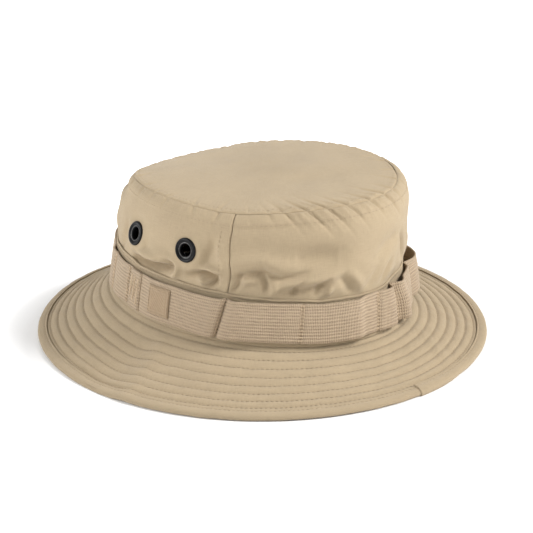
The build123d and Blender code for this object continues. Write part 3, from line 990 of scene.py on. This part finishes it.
def webbing_lap():
    """The webbing's upper end, turned under and laid over the lower one."""
    grid, directions, lengths = webbing_strip(2, *LAP_SHARES, WEBBING - 0.1)
    ends = np.linspace(0, 1, grid.shape[1])
    grid = grid - directions * (0.8 * smooth(0.9, 1.0, ends) + 0.5 * smooth(0.1, 0.0, ends))[None, :, None]
    name, node = "webbing_lap_cloth", "webbing_lap"
    sheet_piece(name, grid, False, webbing_cloth, (node,), WEBBING - 0.2, lengths=lengths)


def on_grid(grid, across, up):
    """Points of a grid at shares of its way across and up."""
    rows, cols = grid.shape[:2]
    x, y = across * (cols - 1), up * (rows - 1)
    col, row = np.minimum(x.astype(int), cols - 2), np.minimum(y.astype(int), rows - 2)
    a, b = (x - col)[:, None], (y - row)[:, None]
    low = grid[row, col] * (1 - a) + grid[row, col + 1] * a
    high = grid[row + 1, col] * (1 - a) + grid[row + 1, col + 1] * a
    return low * (1 - b) + high * b


# Corners of the zigzag sewn over the lap, as shares across and up it
ZIGZAG = ((0.16, 0.84), (0.1, 0.3), (0.48, 0.84), (0.42, 0.22), (0.82, 0.8), (0.78, 0.16))


def lap_stitching():
    """Satin bars down the webbing's lap, three heavy strokes joined by thin ones."""
    grid, directions, _ = webbing_strip(2, *LAP_SHARES, WEBBING - 0.1, relief=False)
    parts = []
    for k, (start, stop) in enumerate(zip(ZIGZAG, ZIGZAG[1:])):
        count, width = (20, 0.9) if k % 2 else (34, 1.9)
        place = np.linspace(0, 1, count)
        across, up = (a + (b - a) * place for a, b in zip(start, stop))
        line, normals = on_grid(grid, across, up), unit(on_grid(directions, across, up))
        side = unit(np.cross(normals, np.gradient(line, axis=0)))
        for middle, normal, away in zip(line, normals, side):
            bar = middle + np.linspace(-0.5, 0.5, 5)[:, None] * away * width
            ups = np.repeat(normal[None], 5, 0)
            parts.append(stitches(bar, ups, length=width - 0.02, gap=0.0, scale=1.25, lift=0.05))
    return parts


webbing_lap()


TAB_SHARES = (0.325, 0.55)
TAB_WIDE, TAB_HIGH = 17.5, 18.6


def plain_tab():
    """A plain stitched tab on the webbing, with nothing on it but a border and slanting ribs."""
    grid, directions, _ = webbing_strip(2, *TAB_SHARES, 0.85, 3.4, 22.0, relief=False)
    rows, cols = grid.shape[:2]
    v, u = np.meshgrid(np.linspace(0, TAB_HIGH, rows), np.linspace(0, TAB_WIDE, cols), indexing="ij")
    edge = np.minimum(np.minimum(u, TAB_WIDE - u), np.minimum(v, TAB_HIGH - v))
    ribs = 0.2 * np.sin(2 * math.pi * (u + v) / 2.2) * smooth(3.4, 4.0, edge)
    relief = ribs - 0.45 * smooth(0.9, 0, edge) + 0.35 * ridge(edge - 0.9, 0.55)
    relief = relief + 0.35 * ridge(edge - 3.0, 0.5)
    grid = grid + directions * relief[..., None]
    sheet_piece("webbing_tab_cloth", grid, False, tab_cloth, ("webbing_tab",), 0.7)
    row, col = int(rows * 1.5 / TAB_HIGH), int(cols * 1.5 / TAB_WIDE)
    inner_rows, inner_cols = slice(row, -row), slice(col, -col)
    sides = (row, inner_cols), (inner_rows, -col), (-row, inner_cols), (inner_rows, col)
    loop = [grid[side][::step] for side, step in zip(sides, (1, 1, -1, -1))]
    ups = [directions[side] for side in sides]
    return stitches(np.concatenate(loop), np.concatenate(ups), True, length=1.5, gap=0.4)


tab_thread = plain_tab()


def tack_rows():
    """The rows of tack stitches that hold the webbing down between its loops."""
    parts = []
    for number, at in enumerate(TACKS, 1):
        angle = np.array([at - 0.55, at, at + 0.55])
        across = np.linspace(0.6, WEBBING_WIDTH - 0.6, 30)
        out = BAND_OUT + WEBBING + LOOPS[number][0][1] + 0.15
        grid, directions = band_grid(angle, WEBBING_LOW + across, np.full((30, 3), out))
        grid = slanted(grid, directions, angle, across)
        for column in range(3):
            parts.append(stitches(grid[:, column], directions[:, column], length=1.9, gap=0.3, scale=1.4))
    return parts


thread_piece("webbing_tack_threads", tack_rows() + lap_stitching(), bright_thread, ("webbing_tacks",))


# ---------------------------------------------------------------- brim

BRIM_STITCH_ROWS = (2.6, 8.3, 14.2, 20.2, 26.1, 31.9, 37.6, 42.9)
# How far the under cloth lies below the brim's upper face
UNDER_DROP = 2.35
# The lowest that the under cloth and a thread's middle may lie above the floor
CLOTH_GAP, FLOOR_GAP = 0.1, 0.75


def quilting(angle, reach):
    """Relief of the quilted brim: a groove at each stitch row and a soft puff between rows."""
    rows = np.array((-3.0, *BRIM_STITCH_ROWS, 48.6))
    total = np.zeros(np.broadcast(angle, reach).shape)
    for low, high in zip(rows, rows[1:]):
        inside = (reach >= low) & (reach < high)
        puff = np.sin(math.pi * np.clip((reach - low) / (high - low), 0, 1))
        total = total + np.where(inside, 0.75 * puff**0.8, 0)
    for k, row in enumerate(BRIM_STITCH_ROWS):
        run = np.radians(angle) * ((HEAD_X + HEAD_Y) / 2 + row)
        dimple = 0.5 + 0.5 * np.cos(2 * math.pi * run / (STITCH + STITCH_GAP) + k)
        total = total - (0.2 + 0.2 * dimple) * ridge(reach - row, 0.7)
    return total - 0.4 - 0.7 * ridge(reach - 45.0, 0.6)


def brim_swell(angle, reach):
    """The brim's own soft waves, and the crease that runs out from the crown on the wearer's left."""
    outward = smooth(2, 14, reach) * smooth(51, 44, reach)
    away = away_from(0, angle)
    crease = 1.1 * ridge(away + 1.5 - reach * 0.03, 3.2) - 2.2 * ridge(away + 10, 7.5)
    crease = crease - 0.8 * ridge(away + 26, 10)
    soft = 0.6 * waves(angle, (3, 5, 8), 61) + 0.16 * waves(angle + reach * 0.35, (31, 43, 57), 62)
    drag = 0.07 * waves(angle + reach * 0.9, (101, 131, 167), 63)
    return outward * (crease + soft + drag)


def brim_layer(name, under, node):
    """The brim's top or under cloth."""
    angle = np.arange(0, TURN, 0.4)
    reach = np.linspace(-1.0, 50.2, 98)
    order = reach if under else reach[::-1]
    sign = -1 if under else 1
    move = brim_swell(angle[None], order[:, None]) + sign * quilting(angle[None], order[:, None])
    grid = brim_surface(angle[None], order[:, None], UNDER_DROP if under else 0.0)
    grid[..., 2] = np.maximum(grid[..., 2] + move, CLOTH_GAP)
    return open_piece(name, grid, True, brim_cloth, (node,))


def brim_stiffener():
    """The stiff layer inside the brim, which follows the brim's waves but not its quilting."""
    angle = np.arange(0, TURN, 1.0)
    reach = np.linspace(0.0, 49.6, 30)[::-1]
    grid = brim_surface(angle[None], reach[:, None], 0.94)
    grid[..., 2] += brim_swell(angle[None], reach[:, None])
    piece = sheet_piece("brim_stiffener", grid, True, stiff_cloth, ("brim_interlining",), 0.4)


brim_top = brim_layer("brim_top", False, "brim_top_cloth")
brim_under = brim_layer("brim_under", True, "brim_under_cloth")
brim_stiffener()


def brim_threads():
    """Thread in every stitch row, above and below."""
    parts = []
    angle = np.arange(0, TURN, 0.4)
    for row in BRIM_STITCH_ROWS:
        for under in (False, True):
            sign = -1 if under else 1
            line = brim_surface(angle, row, UNDER_DROP if under else 0.0)
            line[:, 2] += brim_swell(angle, row) - sign * 0.46
            along = np.roll(line, -1, 0) - np.roll(line, 1, 0)
            across = brim_surface(angle, row - 1.0) - brim_surface(angle, row + 1.0)
            up = unit(np.cross(along, across)) * sign
            parts.append(stitches(line, up, True))
    return parts


# The angles where the binding's end is lapped over its start, begins to sink and is level with it
LAP_START, LAP_FADE, LAP_LEVEL = 77.7, 84, 94

# Outline of the folded binding round the brim's edge: (reach, distance above the brim's upper face)
BINDING_OUTLINE = (
    (45.3, 0.0), (45.15, 0.5), (45.35, 0.85), (46.0, 0.86), (46.75, 0.62), (47.5, 0.9), (48.8, 1.0),
    (50.1, 0.85), (50.95, 0.4), (51.35, -0.4), (51.4, -1.2), (51.1, -2.1), (50.4, -2.75), (49.2, -3.0),
    (47.6, -3.1), (46.75, -2.9), (46.0, -3.2), (45.35, -3.15), (45.2, -2.7), (46.2, -2.4), (49.5, -2.2),
    (50.3, -1.2), (49.5, -0.2), (46.5, -0.05),
)


def binding_ring(angle, outline, swell=0.0):
    """A ring of the binding at each angle."""
    outline = np.array(outline)
    grid = brim_surface(angle[:, None], outline[None, :, 0])
    grid[..., 2] += outline[None, :, 1]
    grid[..., 2] += brim_swell(angle[:, None], np.full((1, len(outline)), 45.0)) * 0.6
    middle = grid.mean(1, keepdims=True)
    ruck = 0.05 * waves(angle, (120, 147, 181), 71)[:, None] + 0.06 * waves(angle, (37, 51), 72)[:, None]
    away = unit(grid - middle)
    return grid + away * (ruck + np.broadcast_to(swell, (len(angle), 1)))[..., None]


def brim_binding():
    """The folded strip round the brim's edge, its end lapped over its start at the back."""
    angle = np.arange(0, TURN, 0.36)
    rings = binding_ring(angle, rounded(BINDING_OUTLINE))
    rings[..., 2] = np.maximum(rings[..., 2], 0.0)
    middle = np.arange(LAP_START + 0.3, LAP_LEVEL - 1, 0.36)
    lap_angle = np.concatenate([[LAP_START, LAP_START + 0.02], middle])
    proud = 0.75 * smooth(LAP_LEVEL, LAP_FADE, lap_angle)
    proud[0] = -0.5
    outline = rounded(BINDING_OUTLINE[:-5])
    lap_rings = binding_ring(lap_angle, outline, proud[:, None])
    wander = 0.7 * np.sin(np.linspace(0, 9, len(outline)))
    along = unit(np.gradient(lap_rings, axis=0))
    lap_rings = lap_rings + along * (wander[None] * smooth(LAP_FADE, 78, lap_angle)[:, None])[..., None]
    lap_rings[..., 2] = np.maximum(lap_rings[..., 2], 0.0)
    points, faces = joined([tube(rings, True), tube(lap_rings)])
    faces = faces[:, ::-1]
    x, y, z = np.moveaxis(points[faces], -1, 0)
    uv, node = np.stack([x + y, z * 3], -1), "brim_binding"
    return make_piece("brim_binding_cloth", points, faces, binding_cloth, uv, (node,))


binding = brim_binding()


def binding_threads():
    """The row of stitches that holds the binding down, above and below."""
    angle = np.arange(0, TURN, 0.4)
    parts = []
    for place, height in ((46.75, 0.62), (46.75, -3.0)):
        ring = binding_ring(angle, ((45.2, height), (place, height), (48.0, height)))
        ring[..., 2] = np.maximum(ring[..., 2], FLOOR_GAP)
        lift = 0.62 * smooth(77.6, 77.9, angle) * smooth(LAP_LEVEL, LAP_FADE, angle)
        up = unit(np.cross(np.roll(ring[:, 1], -1, 0) - np.roll(ring[:, 1], 1, 0), ring[:, 0] - ring[:, 2]))
        sign = 1 if height > 0 else -1
        parts.append(stitches(ring[:, 1] + sign * up * lift[:, None], up * sign, True, length=2.0, gap=0.8))
    return parts


thread_piece("brim_threads", brim_threads() + binding_threads(), thread)


def crown_threads():
    """Topstitching of the tip seam, the side seams and the band."""
    angle = np.arange(0, TURN, 0.5)
    inside = 1 - TIP_STITCH / ((TIP_X + TIP_Y) / 2)
    grid = tip_surface(angle[None], np.array([inside - 0.01, inside, inside + 0.01])[:, None])
    up = grid_normals(grid[::-1], True)[1]
    parts = [stitches(grid[1], up, True, length=1.9, gap=1.1, scale=0.8, lift=-0.05), band_thread]
    share = np.linspace(0.6, 0.995, 160)
    points, _, _, below = wall_folded(angle, share)
    line = read_columns(np.full((1, len(angle)), -TOPSTITCH), -below, points)[0]
    parts.append(stitches(line, unit((line - line.mean(0)) * (1, 1, 0)), True))
    share = np.linspace(0.38, 0.9, 120)
    for seam, front in SEAMS:
        at = seam + front * SEAM_STITCH / MM_PER_DEGREE
        points, normals, _, _ = wall_folded(np.array([at - 0.4, at, at + 0.4]), share)
        parts.append(stitches(points[:, 1], normals[:, 1]))
    return parts


thread_piece("crown_threads", crown_threads() + [tab_thread], thread)


# ---------------------------------------------------------------- what the cloth was cut from

inner_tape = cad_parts["base_seam_binding"]
inner_tape.data.materials.clear()
inner_tape.data.materials.append(tape_cloth)


# ---------------------------------------------------------------- floor, light and camera


# The floor's glow: the distances where it starts and is full, in metres, and its strengths there
GLOW = (0.152, 0.185, 0.0, 0.42)


def stage():
    """A white floor that fades into the same white all round; outside the brim it glows, painted light that
    hides the hat's cast shadow, and under the brim it does not glow.
    """
    bpy.ops.mesh.primitive_plane_add(size=6, location=(0, 0, -0.0002))
    floor = bpy.context.object
    floor.name = "floor"
    graph = Graph("floor")
    place = graph.add("TexCoord", {}, "Object")
    away = graph.add("VectorMath", {0: place}, "Value", operation="LENGTH")
    inputs = {"Base Color": (0.93, 0.93, 0.93, 1), "Roughness": 0.9, "Emission Color": (1, 1, 1, 1)}
    # Painted light: the floor's glow rises from nothing under the brim to full strength further out
    inputs["Emission Strength"] = graph.add("MapRange", dict(enumerate((away, *GLOW))))
    graph.give(graph.shader, inputs)
    floor.data.materials.append(graph.material)
    world = bpy.data.worlds.new("studio")
    world.use_nodes = True
    world.node_tree.nodes["Background"].inputs["Color"].default_value = (1, 1, 1, 1)
    world.node_tree.nodes["Background"].inputs["Strength"].default_value = 0.56
    bpy.context.scene.world = world
    bpy.context.scene.view_settings.view_transform = "Standard"


def add_object(name, data):
    """A new object in the scene."""
    thing = bpy.data.objects.new(name, data)
    bpy.context.scene.collection.objects.link(thing)
    return thing


def add_light(name, kind, towards, power, **settings):
    """A light that shines from a direction: a far sun, or a square lamp to be placed."""
    data = bpy.data.lights.new(name, kind)
    data.energy = power
    for key, value in settings.items():
        setattr(data, key, value)
    lamp = add_object(name, data)
    lamp.rotation_euler = Vector(towards).to_track_quat("Z", "Y").to_euler()
    return lamp


def camera():
    """The photograph's viewing angle: from the wearer's back left, a little above."""
    azimuth, elevation, roll = math.radians(130), math.radians(22.5), math.radians(3.18)
    distance, sideways, height = 1.5657, 0.00645, 0.04179
    level = math.cos(elevation)
    back = Vector((math.sin(azimuth) * level, -math.cos(azimuth) * level, math.sin(elevation)))
    right = Vector((math.cos(azimuth), math.sin(azimuth), 0))
    data = bpy.data.cameras.new("camera")
    data.sensor_width = 36
    data.lens = 164.1
    data.clip_end = 20
    eye = add_object("camera", data)
    eye.location = right * sideways + Vector((0, 0, height)) + back * distance
    eye.rotation_mode = "QUATERNION"
    eye.rotation_quaternion = back.to_track_quat("Z", "Y") @ Quaternion((0, 0, 1), -roll)
    bpy.context.scene.camera = eye
    return back, right


stage()
back, right = camera()
add_light("key", "SUN", right * 1.5 + back * 0.38 + Vector((0, 0, 1.1)), 3.6, angle=0.4)
fill_place = -right * 1.7 + back * 0.3 + Vector((0, 0, 0.7))
fill = add_light("fill", "AREA", fill_place - Vector((0, 0, 0.05)), 20, size=0.8)
fill.location = fill_place
